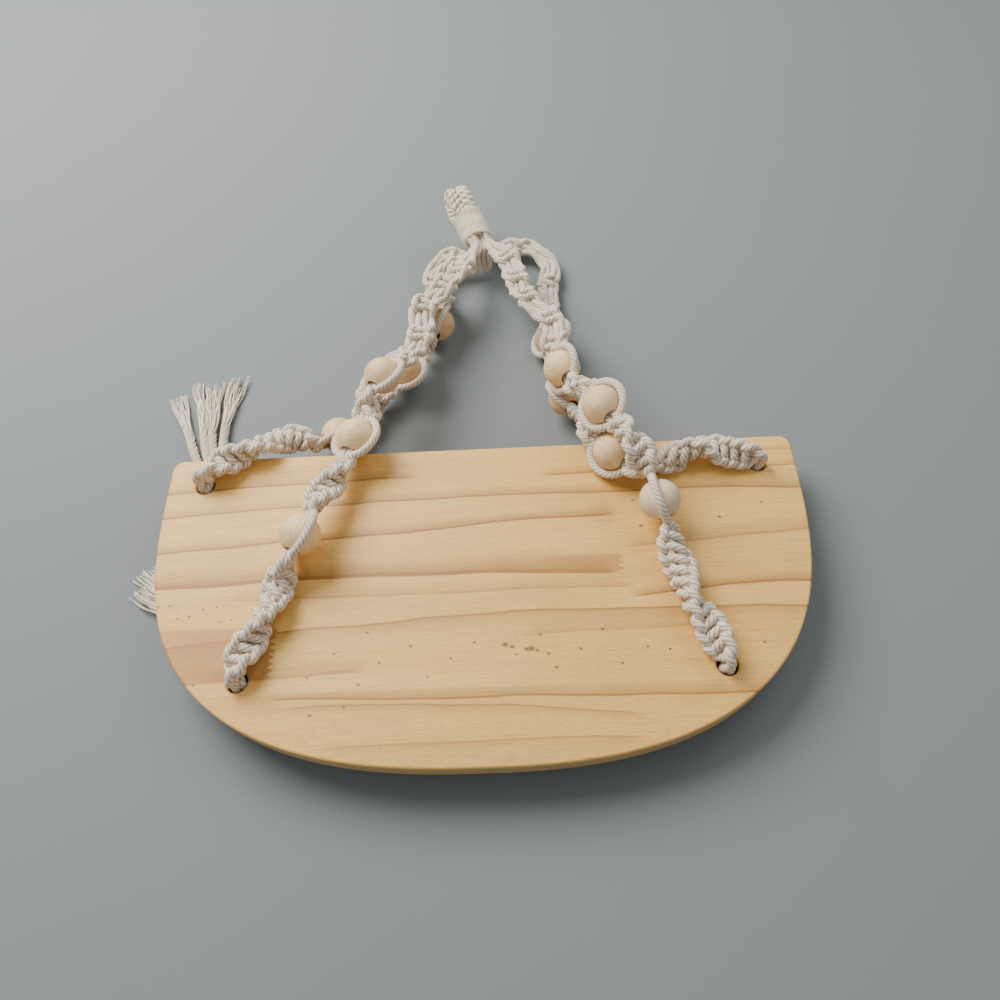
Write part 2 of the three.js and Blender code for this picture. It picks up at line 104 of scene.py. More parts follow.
# Dark specks: the places of each radius, and how much they are drawn out along the board
SPECK_SQUASH = 0.75
SPECKS = {
    0.9: [
        (-162, -106), (-154, -105), (-176, -111), (-169, -110), (-150, -114), (-144, -113), (20, -140),
        (-74, -166), (95, -44), (-159, -151),
    ],
    1.0: [
        (-189, -103), (-182, -103), (-64, -124), (-16, -141), (-56, -142), (-29, -151), (-82, -136),
        (-96, -149), (93, -138), (105, -140), (157, -138), (78, -147),
    ],
    1.1: [
        (-39, -133), (-3, -132), (-67, -154), (34, -129), (42, -148), (-92, -170), (69, -127),
        (56, -138),
    ],
    1.2: [(173, -49), (146, -58), (38, -140)],
    1.3: [(98, -62), (32, -138)],
    1.5: [(18, -135.4)],
    1.6: [(26, -137)],
    1.9: [(14, -134)],
    2.3: [(28.5, -137)],
}

# The beads' radius, the radius of their bore and the rounding of its rim
BEAD_RADIUS = 12.2
BEAD_BORE = 4.9
BEAD_RIM = 0.5

# Two tints for each kind of raw wood, and each bead's kind and turn about its cords
BEAD_TINTS = {
    "pale": ((0.92, 0.70, 0.36), (0.88, 0.59, 0.28)),
    "grey": ((0.76, 0.62, 0.40), (0.92, 0.67, 0.35)),
    "warm": ((0.78, 0.53, 0.27), (0.72, 0.40, 0.16)),
}
BEAD_WOODS = {
    "fl": [("pale", 20), ("pale", 70), ("plain", 10)],
    "fr": [("grey", 0), ("plain", 140), ("pale", 50)],
    "rl": [("plain", 90), ("warm", 0), ("warm", 60)],
    "rr": [("plain", 30), ("warm", 120), ("grey", 0)],
}

# An arm at a bead: half its straight stretch, its lead, and the working cords' ring round the bead, with the
# gap between the ring and the knots beside it
BEAD_REACH = 14.0
BEAD_LEAD = 4.0
RING_RADIUS = 15.1
RING_SPREAD = math.radians(71)
RING_GAP = 1.6

# Stations of each arm: kind, x, y, z, and the turn of its flat side in degrees
ARMS = {
    "fl": [
        ("hole", -135, -150.5, 30, -76), ("rise", -133.8, -147, 36.6, -58),
        ("spiral", -127, -128, 38.8, 52), ("spiral", -119, -107.5, 40.6, 148),
        ("spiral", -113.2, -90.5, 40, 232), ("bead", -104, -68.5, 48.3, 308),
        ("spiral", -91.5, -34.5, 45, 386), ("bead", -77, 1.5, 46, 520),
        ("spiral", -69.5, 26, 46, 600), ("bead", -63, 51.5, 46, 690),
        ("knot", -48, 68, 43, 705), ("knot", -39, 89.5, 41, 720),
        ("knot", -38, 119.5, 39, 735), ("knot", -22.5, 143, 37, 720),
        ("knot", -12, 160, 35, 700), ("strand", -6, 178, 31.5, 720),
    ],
    "fr": [
        ("hole", 135, -150.5, 30, -90), ("rise", 134, -147, 36.6, -80),
        ("spiral", 127.7, -132.5, 37.5, -17), ("spiral", 118, -115.5, 39.7, 73),
        ("spiral", 114.5, -92, 40, 163), ("bead", 108, -55, 48.3, 250),
        ("spiral", 96.6, -29.4, 63.2, 348), ("bead", 78.8, 6.9, 61, 500),
        ("spiral", 70.5, 27, 56, 590), ("bead", 57.2, 49.6, 47, 658),
        ("knot", 53.5, 73.3, 44, 705), ("knot", 52, 97.7, 43, 720),
        ("knot", 35.5, 122.3, 41, 735), ("knot", 29.6, 144.3, 39, 720),
        ("knot", 24.3, 170.5, 36, 700), ("strand", 13.5, 187, 32, 720),
    ],
    "rl": [
        ("hole", -176, -20, 30, -90), ("rise", -173.5, -17.5, 37, -80),
        ("spiral", -159, -6, 38.5, 38), ("spiral", -143, 4, 39, 128),
        ("spiral", -123, 16.5, 27, 218), ("bead", -95.5, 24, 18.3, 300),
        ("spiral", -78.5, 52, 11, 400), ("bead", -53.5, 79.8, 16, 530),
        ("spiral", -41, 102, 14.5, 592), ("bead", -30, 124, 17.2, 655),
        ("knot", -26, 150, 13, 725), ("knot", -35, 171.5, 13, 720),
        ("strand", -33, 185, 14, 720), ("knot", -22.5, 196, 16, 720),
        ("strand", -13.5, 195.5, 17.6, 720), ("strand", -4.5, 191.5, 18.5, 720),
    ],
    "rr": [
        ("hole", 176, -20, 30, -90), ("rise", 172.5, -19.8, 37, -80),
        ("spiral", 152.7, -16, 38.3, -34), ("spiral", 138, -14.5, 40.3, 56),
        ("spiral", 123.5, -19, 38, 146), ("spiral", 105, -18.5, 38, 222),
        ("bead", 84.6, -15.6, 43.4, 325), ("spiral", 74.6, 17, 33, 370),
        ("bead", 60.6, 47.7, 18, 405), ("spiral", 56, 78, 15, 460),
        ("bead", 53.5, 106, 16, 505), ("knot", 53.8, 136, 12, 530),
        ("knot", 55, 170, 9, 540), ("strand", 58, 188, 9, 540),
        ("strand", 49.5, 203, 10, 540), ("knot", 34, 213.5, 12, 540),
        ("strand", 20.5, 207, 15, 540), ("strand", 12, 195, 16.5, 540),
    ],
}

# How finely an arm's middle line is sampled: in its hole, past a bead and between two stations
FOOT_SAMPLES = 17
BEAD_SAMPLES = 28
STATION_SAMPLES = 40

# The lower and upper end of the whipped neck, and each arm's seat in it: its side, how far it lies from the
# neck's middle, and how far up
NECK_LOW = (2.2, 200.8, 26)
NECK_HIGH = (-8, 226, 33.8)
SEAT_SIDES = {"fl": (-1, 1), "fr": (1, 1), "rl": (-1, -1), "rr": (1, -1)}
SEAT_OFFSET = 4.8
SEAT_STOPS = (-6.0, 3.5)

# Bights that hang out under the neck's mouth
BIGHTS = {
    "fl": [
        (0, 191, 29), (-4, 185.5, 25), (-4, 182, 18.5), (-2, 179.5, 15.5),
        (0.2, 181.2, 20), (0.4, 186.3, 26), (1.5, 191.5, 28.5),
    ],
    "fr": [
        (7, 193.5, 29), (4.6, 188.5, 24), (4.6, 185.5, 17), (6.8, 184.5, 13),
        (9.0, 186.5, 17), (9.0, 190, 24), (8, 194, 28.5),
    ],
}
BIGHT_SIZE = 0.92

# A laid cord: its plies, the length of one turn, how far the plies stand out, and how finely it is drawn
PLIES = 4
LAY = 11.5
RELIEF = 0.28
CORD_SIDES = 16
CORD_STEP = 1.1
LINE_STEP = 0.8

# One half knot: how the left working cord crosses in front of the fillers, and how the right one crosses
# behind them and comes up through its loop. Each row is a place along the arm in knot heights, then how far
# out from the middle along the flat side and across it
HALF_KNOT = 6.6
FRONT_PASS = [
    (-0.30, -7.6, 1.0), (-0.12, -6.2, 1.7), (-0.04, -3.4, 2.9), (0.00, 0.0, 3.4),
    (0.06, 3.6, 2.7), (0.20, 6.8, 0.6), (0.45, 7.7, 0.7),
]
BACK_PASS = [
    (-0.12, 7.1, 3.3), (0.12, 6.0, 4.3), (0.36, 4.8, 1.4), (0.34, 3.2, -2.3),
    (0.12, 0.0, -3.5), (-0.12, -3.4, -2.8), (-0.34, -5.1, 0.0), (-0.24, -5.3, 3.0),
    (0.04, -6.1, 4.3), (0.36, -7.3, 3.2),
]

# How a row of half knots narrows at its ends, and where the first one starts before the rise
SPIRAL_EASE = 10.0
SPIRAL_END = 0.72
SPIRAL_LEAD = 3.5

# Each arm's size of square knots and bow between them, and where a bow ends and starts, in knot heights
SQUARE_SIZE = {"fl": 1.0, "fr": 0.96, "rl": 0.86, "rr": 0.84}
BOW = {"fl": 6.3, "fr": 6.0, "rl": 5.0, "rr": 4.8}
BOW_END = 0.8
BOW_START = 0.9

# How far the fillers, the cords in a hole and those in the neck lie from the arm's middle, and how far from
# the neck the cords begin to thin, over what length and by what share
FILLER_OFFSET = 2.35
BUNDLE_OFFSET = 2.8
MOUTH_OFFSET = BUNDLE_OFFSET * 0.85
MOUTH_NEAR = 12
MOUTH_EASE = 10
MOUTH_THINNING = 0.1

# An end knot's turns, its middle radius and how far it swells, and the post inside it
KNOT_TURNS = 4.6
KNOT_RADIUS = 6.1
KNOT_SWELL = 3.6
POST_RADIUS = 7.4

# Place across the tail, share of its length and hump of each of the four cords, their spacing at the root,
# the length of one turn, their height over the table, and the yarns of each
TAIL_CORDS = [(-0.5, 0.93, 0.6), (-0.1, 1.0, 2.2), (0.12, 0.97, 0.8), (0.5, 0.98, 1.4)]
TAIL_SPACING = 8.0
TAIL_LAY = 15.0
TAIL_LEVEL = 3.1
TAIL_SAMPLES = 46
YARN_TIP = 8
YARNS = 32

# Each tail's heading in degrees, length, fan, bend, and the flare of its yarns
TAILS = {
    "fl": (135.5, 121, 10, 3, 7),
    "fr": (134, 92, 34, -4, 8),
    "rl": (104, 117, 40, -4, 10),
    "rr": (190, 92, 34, 4, 8),
}

# The whipping's turns and radius, and the radius of the sleeve under it
WHIPPING_TURNS = 14
WHIPPING_RADIUS = 11.2
SLEEVE_RADIUS = 10.5

# The folded band: distance up the neck, height over its middle and half width, from its foot in front over
# the fold to its foot behind
BAND_SIDE = [
    (26.0, 6.2, 9.0), (30.0, 7.4, 9.8), (34.0, 8.0, 9.9),
    (38.0, 8.1, 9.6), (42.0, 7.6, 9.1), (45.4, 5.4, 8.5),
]
BAND_ROWS = BAND_SIDE + [(46.8, 0.0, 8.2)] + [(up, -height, wide) for up, height, wide in reversed(BAND_SIDE)]

# The stitches' spacing and reach, their cord against the binding cord, the band's shift and its core
STITCH = 4.7
STITCH_REACH = 7.0
BAND_CORD = 1.95
BAND_SHIFT = 1.3
BAND_CORE = 9.4

# Name, place in metres, size, power and colour of each light
LIGHTS = [
    ("window", (-0.66, 0.62, 0.98), 1.0, 33, (1.0, 0.985, 0.95)),
    ("bounce", (0.9, 0.9, 1.3), 1.0, 7, (1.0, 0.99, 0.97)),
]

ROOM_COLOUR = (0.96, 0.98, 1.0, 1)
ROOM_STRENGTH = 0.45

# The camera's place, in the tables' millimetres, and the directions of its picture's right, down and depth
CAMERA = {
    "place": (25.77, -280.46, 431.03),
    "right": (0.99877, -0.02217, -0.04434),
    "down": (-0.04181, -0.85729, -0.51313),
    "focal": 751.0,
    "picture": 1000.0,
    "sensor": 36.0,
}


# Values that a user would change


def length_property(name, description, default):
    return FloatProperty(name=name, description=description, default=default * MM, unit="LENGTH")


def colour_property(name, description, default):
    return FloatVectorProperty(name=name, description=description, subtype="COLOR", size=3, default=default)


class ShelfSizes(bpy.types.PropertyGroup):
    """Sizes of the shelf's finish"""

    cord: length_property("Cord radius", "Radius of the laid cord", 2.6)
    yarn: length_property("Yarn radius", "Radius of one loose yarn", 0.5)
    binding: length_property("Binding radius", "Radius of the binding cord", 1.0)


class ShelfColours(bpy.types.PropertyGroup):
    """Colours of the shelf's finish"""

    pine: colour_property("Pine", "Pale pine of the board", (0.92, 0.55, 0.145))
    latewood: colour_property("Latewood", "Darker grain of the board", (0.36, 0.158, 0.03))
    bead: colour_property("Bead", "Raw wood of the beads", (0.84, 0.61, 0.33))
    cotton: colour_property("Cotton", "Natural cotton cord", (0.86, 0.735, 0.585))
    fine_cotton: colour_property("Fine cotton", "Paler binding cord", (0.95, 0.85, 0.63))
    floor: colour_property("Floor", "Pale floor", (0.20, 0.222, 0.22))


# Paths and places


def unit(vectors):
    return vectors / np.maximum(np.linalg.norm(vectors, axis=-1, keepdims=True), 1e-9)


def to_frame(points):
    """Millimetres from the board's rear edge, as metres in the frame."""
    return np.asarray(points, float) * MM + ORIGIN


def curve_through(points, cuts=STATION_SAMPLES):
    """A smooth curve through the points, sampled evenly between each two."""
    points = np.asarray(points, float)
    rows = np.vstack([2 * points[0] - points[1], points, 2 * points[-1] - points[-2]])
    samples = []
    for i in range(1, len(rows) - 2):
        p0, p1, p2, p3 = rows[i - 1 : i + 3]
        d0, d1, d2 = (max(np.linalg.norm(b - a), 1e-6) ** 0.5 for a, b in ((p0, p1), (p1, p2), (p2, p3)))
        t1 = ((p1 - p0) / d0 - (p2 - p0) / (d0 + d1) + (p2 - p1) / d1) * d1
        t2 = ((p2 - p1) / d1 - (p3 - p1) / (d1 + d2) + (p3 - p2) / d2) * d1
        t = np.linspace(0, 1, cuts, endpoint=False)[:, None]
        square, cube = 3 * (p2 - p1) - 2 * t1 - t2, 2 * (p1 - p2) + t1 + t2
        samples.append(p1 + t1 * t + square * t**2 + cube * t**3)
    samples.append(points[-1:])
    return np.vstack(samples)


def columns(*rows):
    return np.stack(rows, axis=1)


def lengths_along(points):
    return np.concatenate([[0], np.cumsum(np.linalg.norm(np.diff(points, axis=0), axis=1))])


def rows_at(stops, at, table):
    """Rows of the table at the stops, read between its own places."""
    return columns(*(np.interp(stops, at, table[:, k]) for k in range(3)))


def resampled(points, step):
    """The same line with even steps."""
    at = lengths_along(points)
    count = max(2, int(round(at[-1] / step)))
    stops = np.linspace(0, at[-1], count + 1)
    return rows_at(stops, at, points)


def softened(points, rounds):
    """The line with its corners eased."""
    for _ in range(rounds):
        points = np.vstack([points[:1], (points[:-2] + 2 * points[1:-1] + points[2:]) / 4, points[-1:]])
    return points


def smooth_step(x):
    x = np.clip(x, 0, 1)
    return x * x * (3 - 2 * x)


def neck_frame():
    """Origin and the directions across, along and out of the whipped neck."""
    origin = np.array(NECK_LOW, float)
    along = unit(np.array(NECK_HIGH, float) - origin)
    across = unit(np.array([along[1], -along[0], 0]))
    return origin, across, along, np.cross(across, along)


def neck_place(across, along, out):
    origin, x, y, z = neck_frame()
    across, along, out = (np.asarray(v, float)[..., None] for v in (across, along, out))
    return origin + across * x + along * y + out * z


class Arm:
    """The middle line of one arm, its cross directions, and where its beads, spirals and knots lie on it."""

    def __init__(self, key):
        self.key = key
        rows = [(kind, np.array([x, y, z], float), turn) for kind, x, y, z, turn in ARMS[key]]
        sideways, upwards = SEAT_SIDES[key]
        for stop in SEAT_STOPS:
            seat = neck_place(sideways * SEAT_OFFSET, stop, upwards * SEAT_OFFSET)
            rows.append(("seat", seat, rows[-1][2]))
        foot = rows[0][1]
        parts = [np.linspace(foot - [0, 0, BOARD_TOP - UNDERSIDE + 2], foot, FOOT_SAMPLES + 1)[:-1]]
        turns = [np.full(FOOT_SAMPLES, float(rows[0][2]))]
        marks = []
        self.beads = []
        current = []

        def close():
            curve = curve_through([place for _, place, _ in current])
            at = lengths_along(curve)
            stops = at[::STATION_SAMPLES]
            turns.append(np.interp(at, stops, [turn for _, _, turn in current])[:-1])
            offset = sum(len(part) for part in parts)
            marks.append([(kind, offset + STATION_SAMPLES * i) for i, (kind, _, _) in enumerate(current)])
            parts.append(curve[:-1])

        for i, row in enumerate(rows):
            if row[0] != "bead":
                current.append(row)
                continue
            along = unit(rows[i + 1][1] - rows[i - 1][1])
            for reach in (BEAD_REACH + BEAD_LEAD, BEAD_REACH):
                current.append(("lead", row[1] - along * reach, row[2]))
            close()
            sample = sum(len(part) for part in parts) + BEAD_SAMPLES // 2
            self.beads.append({"centre": row[1], "along": along, "sample": sample})
            stops = np.linspace(-BEAD_REACH, BEAD_REACH, BEAD_SAMPLES, endpoint=False)
            parts.append(row[1] + stops[:, None] * along)
            turns.append(np.full(BEAD_SAMPLES, float(row[2])))
            reaches = (BEAD_REACH, BEAD_REACH + BEAD_LEAD)
            current = [("lead", row[1] + along * reach, row[2]) for reach in reaches]
        close()
        parts.append(current[-1][1][None])
        turns.append([rows[-1][2]])
        self.points = np.vstack(parts)
        self.turns = np.radians(np.concatenate(turns))
        self.at = lengths_along(self.points)
        self.length = self.at[-1]
        self.bead_stops = [self.at[bead["sample"]] for bead in self.beads]
        self.foot_stop = self.at[FOOT_SAMPLES]
        self.rise_stop = self.at[marks[0][1][1]]
        self.knot_stops = [self.at[i] for kind, i in marks[-1] if kind == "knot"]
        self._frames()

    def _frames(self):
        tangents = unit(np.gradient(self.points, axis=0))
        level = tangents.copy()
        start = np.searchsorted(self.at, self.foot_stop + 14)
        flat = np.hypot(tangents[:, 0], tangents[:, 1])
        lean = np.clip((0.85 - flat) / 0.4, 0, 1)[:, None]
        lead = tangents[np.minimum(np.arange(len(tangents)) + 25, len(tangents) - 1)]
        lead[:start] = tangents[start]
        level = level + lean * lead
        side = unit(columns(level[:, 1], -level[:, 0], 0 * level[:, 0]))
        up = unit(np.cross(side, tangents))
        side = np.cross(tangents, up)
        cos, sin = np.cos(self.turns)[:, None], np.sin(self.turns)[:, None]
        self.wide = side * cos - up * sin
        self.thick = up * cos + side * sin

    def places(self, at, wide, thick):
        """Points at distances along the arm, and out from its middle along its two cross directions."""
        beyond = np.maximum(at - self.length, 0)[:, None] * unit(self.points[-1] - self.points[-2])
        tables = (self.points, self.wide, self.thick)
        middle, wides, thicks = (rows_at(at, self.at, table) for table in tables)
        return middle + beyond + wides * wide[:, None] + thicks * thick[:, None]


# Cords as meshes


def sweep(points, radius, sides=CORD_SIDES, plies=PLIES, lay=LAY, relief=RELIEF, phase=0.0):
    """A laid cord along the points: its vertices, faces and the two numbers of its pattern at each corner."""
    tangents = unit(np.gradient(points, axis=0))
    at = lengths_along(points)
    normal = unit(np.cross(tangents[0], [0.31, 0.17, 0.93]))
    normals = [normal]
    for tangent in tangents[1:]:
        normal = normal - tangent * (normal @ tangent)
        normal /= np.linalg.norm(normal)
        normals.append(normal)
    normals = np.array(normals)
    others = np.cross(tangents, normals)
    radius = np.broadcast_to(np.asarray(radius, float), at.shape)
    angle = 2 * np.pi * np.arange(sides) / sides
    turn = phase - 2 * np.pi * at / lay
    bulge = np.abs(np.cos(plies * (angle[None] - turn[:, None]) / 2)) ** 0.75
    reach = radius[:, None] * (1 - relief + relief * bulge)
    rings = (
        points[:, None]
        + normals[:, None] * (reach * np.cos(angle))[..., None]
        + others[:, None] * (reach * np.sin(angle))[..., None]
    )
    vertices = rings.reshape(-1, 3)
    row = np.arange(len(points) - 1)[:, None] * sides
    here = np.arange(sides)[None]
    there = (here + 1) % sides
    corners = [row + here, row + there, row + there + sides, row + here + sides]
    quads = np.stack(corners, axis=-1).reshape(-1, 4)
    across = plies * (np.append(angle, 2 * np.pi)[None] - turn[:, None]) / (2 * np.pi)
    first, second = (np.repeat(stops[:, None], sides, axis=1) for stops in (at[:-1], at[1:]))
    across_corners = np.stack([across[:-1, :-1], across[:-1, 1:], across[1:, 1:], across[1:, :-1]], axis=-1)
    along_corners = np.stack([first, first, second, second], axis=-1)
    uv = np.stack([across_corners, along_corners], axis=-1).reshape(-1, 2)
    last = (len(points) - 1) * sides
    caps = [list(range(sides))[::-1], list(range(last, last + sides))]
    return vertices, quads.tolist() + caps, np.vstack([uv, np.zeros((2 * sides, 2))])


def rod(points, radius, sides):
    """A plain round cord along the points."""
    return sweep(points, radius, sides, plies=0, relief=0.0)


def link(made):
    bpy.context.scene.collection.objects.link(made)


def mesh_object(name, parts):
    """One object of several swept parts, with its place in its mesh."""
    vertices, faces, uvs = [], [], []
    base = 0
    for points, polygons, uv in parts:
        vertices.append(to_frame(points))
        faces.extend([[i + base for i in polygon] for polygon in polygons])
        uvs.append(uv)
        base += len(points)
    mesh = bpy.data.meshes.new(name)
    mesh.from_pydata(np.vstack(vertices).tolist(), [], faces)
    layer = mesh.uv_layers.new(name="cord")
    layer.data.foreach_set("uv", np.vstack(uvs).astype(np.float32).ravel())
    mesh.polygons.foreach_set("use_smooth", [True] * len(mesh.polygons))
    mesh.update()
    made = bpy.data.objects.new(name, mesh)
    link(made)
    return made


def dress(piece, material, node):
    """Give a finished piece its material and its body, and hide the node that it stands for."""
    piece.data.materials.clear()
    piece.data.materials.append(material)
    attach(piece, "root")
    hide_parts(node)


# The knotted arms


def half_knot(middle, height, side, mirrored=False):
    """The way of one working cord through a half knot, and the side that it ends on."""
    crosses_front = (side < 0) != mirrored
    rows = np.array(FRONT_PASS if crosses_front else BACK_PASS)
    if mirrored:
        rows[:, 1] *= -1
    rows[:, 0] = middle + rows[:, 0] * height
    return rows, -side


def spiral_part(start, end, side):
    """A working cord through a row of half knots that all turn one way."""
    count = max(3, int(round((end - start) / HALF_KNOT)))
    height = (end - start) / count
    rows = []
    for i in range(count):
        passed, side = half_knot(start + (i + 0.5) * height, height, side)
        rows.append(passed)
    rows = np.vstack(rows)
    near = np.minimum(rows[:, 0] - start, end - rows[:, 0]) / SPIRAL_EASE
    rows[:, 1:] *= (SPIRAL_END + (1 - SPIRAL_END) * smooth_step(near))[:, None]
    return rows, side


def ring_part(stop, side):
    """A working cord that passes round a bead."""
    angle = np.linspace(-RING_SPREAD, RING_SPREAD, 13)
    along, out = stop + RING_RADIUS * np.sin(angle), side * RING_RADIUS * np.cos(angle)
    return columns(along, out, 0 * angle)


def square_part(stop, side, size):
    """A working cord in a square knot: two half knots, the second one mirrored."""
    first, side = half_knot(stop - HALF_KNOT / 2, HALF_KNOT, side)
    second, side = half_knot(stop + HALF_KNOT / 2, HALF_KNOT, side, mirrored=True)
    rows = np.vstack([first, second])
    rows[:, 1:] *= size
    return rows, side


def bow_part(start, end, side, bow):
    """A working cord that hangs free between two square knots."""
    share = np.linspace(0, 1, 5)[1:-1]
    at = start + (end - start) * share
    wide = side * bow + 0.8 * np.sin(at / 7 + 2 * side)
    return columns(at, wide, 1.6 * np.sin(at / 5 - side))


def working_cord(arm, side):
    """Distances along and out from the arm of one working cord, from the hole to the whipping."""
    ends = [stop - BEAD_REACH - RING_GAP for stop in arm.bead_stops]
    starts = [arm.rise_stop - SPIRAL_LEAD] + [stop + BEAD_REACH + RING_GAP for stop in arm.bead_stops[:2]]
    bow = BOW[arm.key]
    turn = side
    rows = [[[at, 0, side * BUNDLE_OFFSET] for at in np.linspace(0, arm.foot_stop - 1, 5)]]
    for start, end, stop in zip(starts, ends, arm.bead_stops):
        part, turn = spiral_part(start, end, turn)
        rows += [part, ring_part(stop, turn)]
    before = arm.bead_stops[2] + BEAD_REACH + 1
    for stop in arm.knot_stops:
        part, after = square_part(stop, turn, SQUARE_SIZE[arm.key])
        rows += [bow_part(before, stop - HALF_KNOT * BOW_END, turn, bow), part]
        turn, before = after, stop + HALF_KNOT * BOW_START
    stops = np.linspace(before + 1, arm.length + 4, 9)
    share = smooth_step((stops - before) / (0.75 * (arm.length - before)))
    rows.append(columns(stops, turn * bow * (1 - share), turn * MOUTH_OFFSET * share))
    return curve_through(np.vstack([np.asarray(row, float) for row in rows]), 9)


def filler_cord(arm, side):
    """One of the two cords in the middle, which turn loosely about each other past the last bead."""
    at = np.arange(0, arm.length + 4, 1.5)
    gather = smooth_step((at - arm.length + 20) / 14)
    offset = FILLER_OFFSET + (MOUTH_OFFSET - FILLER_OFFSET) * gather
    loose = smooth_step((at - arm.bead_stops[2] - 22) / 8) * (1 - gather)
    return columns(at, side * offset, side * 0.9 * loose * np.sin(at / 4.1))


def arm_cords(key, radius):
    """The arm, and its four cords with the bight that some arms have at the neck."""
    arm = Arm(key)
    parts = []
    for i, side in enumerate((-1, 1)):
        for rows in (working_cord(arm, side), filler_cord(arm, side)):
            line = resampled(arm.places(rows[:, 0], rows[:, 1], rows[:, 2]), LINE_STEP)
            line = resampled(softened(line, 2), CORD_STEP)
            mouth = np.linalg.norm(line - arm.points[-1], axis=1)
            thin = 1 - MOUTH_THINNING * smooth_step((MOUTH_NEAR - mouth) / MOUTH_EASE)
            parts.append(sweep(line, radius * thin, phase=1.3 * i + len(parts)))
    if key in BIGHTS:
        parts.append(sweep(resampled(curve_through(BIGHTS[key]), CORD_STEP), radius * BIGHT_SIZE))
    return arm, parts


# Beads


def make_bead():
    """The master bead, a turned ball with a drilled bore: a sphere whose poles are opened and bridged."""
    bpy.ops.object.select_all(action="DESELECT")
    bpy.ops.mesh.primitive_uv_sphere_add(segments=48, ring_count=32, radius=BEAD_RADIUS * MM)
    bead = bpy.context.object
    bpy.ops.object.mode_set(mode="EDIT")
    bm = bmesh.from_edit_mesh(bead.data)
    for face in bm.faces:
        middle = face.calc_center_median()
        face.select = math.hypot(middle.x, middle.y) < BEAD_BORE * MM
    bmesh.update_edit_mesh(bead.data)
    bpy.ops.mesh.delete(type="FACE")
    bm = bmesh.from_edit_mesh(bead.data)
    for vertex in bm.verts:
        vertex.select = False
    for edge in bm.edges:
        edge.select = edge.is_boundary
    bm.select_flush_mode()
    for vertex in {v for edge in bm.edges if edge.is_boundary for v in edge.verts}:
        flat = Vector((vertex.co.x, vertex.co.y, 0)).normalized() * BEAD_BORE * MM
        height = math.copysign(math.sqrt(BEAD_RADIUS**2 - BEAD_BORE**2) * MM, vertex.co.z)
        vertex.co = (flat.x, flat.y, height)
    bmesh.update_edit_mesh(bead.data)
    bpy.ops.mesh.bridge_edge_loops(number_cuts=4)
    bpy.ops.mesh.select_all(action="SELECT")
    bpy.ops.mesh.normals_make_consistent(inside=False)
    bpy.ops.object.mode_set(mode="OBJECT")
    bevel = bead.modifiers.new("rim", "BEVEL")
    bevel.width = BEAD_RIM * MM
    bevel.segments = 3
    bevel.limit_method = "ANGLE"
    bevel.angle_limit = math.radians(40)
    bpy.ops.object.modifier_apply(modifier="rim")
    bpy.ops.object.shade_smooth_by_angle(angle=math.radians(50))
    axis = bead.data.attributes.new("bead_axis", "FLOAT_VECTOR", "POINT")
    local = np.array([v.co for v in bead.data.vertices], float) / MM
    axis.data.foreach_set("vector", local.astype(np.float32).ravel())
    return bead


def thread_bead(master, name, centre, along, turn):
    """A copy of the master bead on its cords, turned about them by some degrees."""
    bead = master.copy()
    bead.data = master.data.copy()
    bead.name = bead.data.name = name
    lean = Vector((0, 0, 1)).rotation_difference(Vector(along)).to_matrix().to_4x4()
    turned = Matrix.Rotation(math.radians(turn), 4, "Z")
    bead.data.transform(Matrix.Translation(Vector(to_frame(centre))) @ lean @ turned)
    link(bead)
    return bead


# The board


def board_outline():
    """Points of the board's edge, anticlockwise from its right rear corner."""
    half, depth, corner = BOARD["half"], BOARD["depth"], BOARD["corner"]
    start = math.asin((corner / depth) ** (BOARD["front_power"] / 2))
    angles = np.linspace(start, np.pi - start, BOARD_STEPS + 1)
    x = np.sign(np.cos(angles)) * half * np.abs(np.cos(angles)) ** (2 / BOARD["side_power"])
    y = -depth * np.sin(angles) ** (2 / BOARD["front_power"])
    points = list(zip(x, y))
    for centre, first in ((-half + corner, np.pi), (half - corner, np.pi / 2)):
        for angle in np.linspace(first, first - np.pi / 2, 9):
            points.append((centre + corner * math.cos(angle), -corner + corner * math.sin(angle)))
    return points


def make_board():
    """A flat curve of the outline and holes, raised to the board's thickness with its edges eased."""
    curve = bpy.data.curves.new("board_outline", "CURVE")
    curve.dimensions = "2D"
    curve.fill_mode = "BOTH"
    angles = np.linspace(0, 2 * np.pi, HOLE_SIDES + 1)[:-1]
    circle = [(HOLE_RADIUS * math.cos(a), HOLE_RADIUS * math.sin(a)) for a in angles]
    loops = [[(x + out, y + up) for out, up in circle] for x, y in HOLES.values()]
    for loop in [board_outline()] + loops:
        spline = curve.splines.new("POLY")
        spline.points.add(len(loop) - 1)
        for point, (x, y) in zip(spline.points, loop):
            point.co = (x * MM, y * MM, 0, 1)
        spline.use_cyclic_u = True
    thickness = (BOARD_TOP - UNDERSIDE) * MM
    curve.extrude = thickness / 2 - BOARD["edge"] * MM
    curve.bevel_depth = BOARD["edge"] * MM
    curve.offset = -BOARD["edge"] * MM
    curve.bevel_resolution = 3
    board = bpy.data.objects.new("board_finished", curve)
    link(board)
    bpy.ops.object.select_all(action="DESELECT")
    board.select_set(True)
    bpy.context.view_layer.objects.active = board
    bpy.ops.object.convert(target="MESH")
    board = bpy.context.object
    place = Vector(to_frame((0, 0, (UNDERSIDE + BOARD_TOP) / 2)))
    board.data.transform(Matrix.Translation(place))
    bpy.ops.object.mode_set(mode="EDIT")
    bpy.ops.mesh.select_all(action="SELECT")
    bpy.ops.mesh.remove_doubles(threshold=0.01 * MM)
    bpy.ops.mesh.normals_make_consistent(inside=False)
    bpy.ops.object.mode_set(mode="OBJECT")
    bpy.ops.object.shade_smooth_by_angle(angle=math.radians(35))
    return board


# End knots and tails


